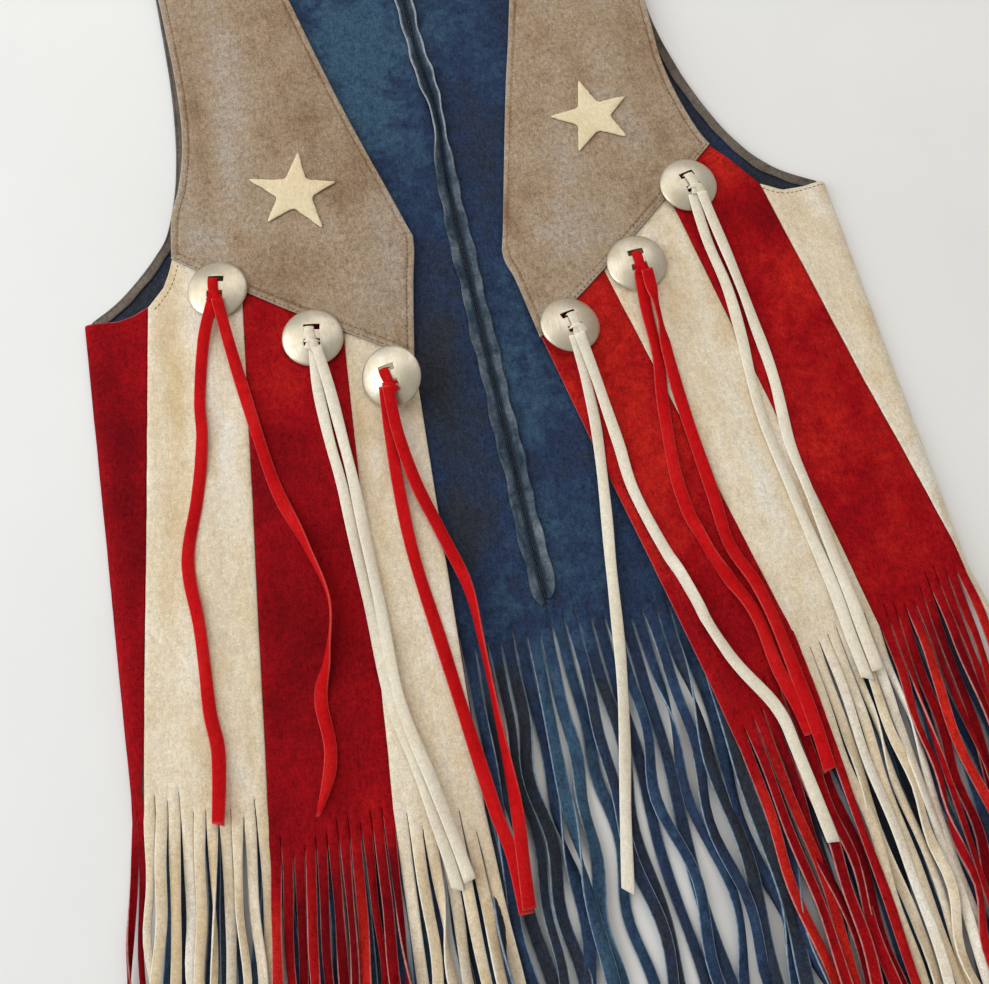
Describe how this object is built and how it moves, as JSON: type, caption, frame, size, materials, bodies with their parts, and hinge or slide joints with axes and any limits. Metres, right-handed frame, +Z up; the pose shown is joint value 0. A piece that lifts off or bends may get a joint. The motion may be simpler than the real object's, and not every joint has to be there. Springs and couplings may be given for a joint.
{
  "type": "fringed suede vest laid flat",
  "caption": "Sleeveless suede vest laid flat with its striped fronts parted, fringed hems, star patches, and domed conchos that hold flat laces.",
  "frame": {"origin": "on the surface the vest lies on, under the middle of its outline", "axes": "+X to the viewer's right across the vest, +Y along the centre-back seam to the neck, +Z up from the surface"},
  "size_m": [0.5536, 0.9048, 0.0247],
  "materials": {
    "navy": "napped navy suede",
    "red": "napped red suede",
    "cream": "napped cream suede",
    "taupe": "napped taupe suede",
    "nickel": "worn nickel"
  },
  "bodies": {
    "root": {"back_left": "navy", "back_seam_left": "navy", "armhole_facing_left": "taupe", "fringe_back_left": "navy", "yoke_left": "taupe", "star_left": "cream", "back_right": "navy", "back_seam_right": "navy", "armhole_facing_right": "taupe", "fringe_back_right": "navy", "yoke_right": "taupe", "star_right": "cream", "stripe_left_1": "red", "fringe_left_1": "red", "stripe_left_2": "cream", "fringe_left_2": "cream", "stripe_left_3": "red", "fringe_left_3": "red", "stripe_left_4": "cream", "fringe_left_4": "cream", "concho_left_1": "nickel", "lace_left_1_loop": "red", "lace_left_1_a": "red", "lace_left_1_b": "red", "concho_left_2": "nickel", "lace_left_2_loop": "cream", "lace_left_2_a": "cream", "lace_left_2_b": "cream", "concho_left_3": "nickel", "lace_left_3_loop": "red", "lace_left_3_a": "red", "lace_left_3_b": "red", "stripe_right_1": "cream", "fringe_right_1": "cream", "stripe_right_2": "red", "fringe_right_2": "red", "stripe_right_3": "cream", "fringe_right_3": "cream", "stripe_right_4": "red", "fringe_right_4": "red", "concho_right_1": "nickel", "lace_right_1_loop": "cream", "lace_right_1_a": "cream", "lace_right_1_b": "cream", "concho_right_2": "nickel", "lace_right_2_loop": "red", "lace_right_2_a": "red", "lace_right_2_b": "red", "concho_right_3": "nickel", "lace_right_3_loop": "cream", "lace_right_3_a": "cream", "lace_right_3_b": "cream"}
  },
  "joints": []
}
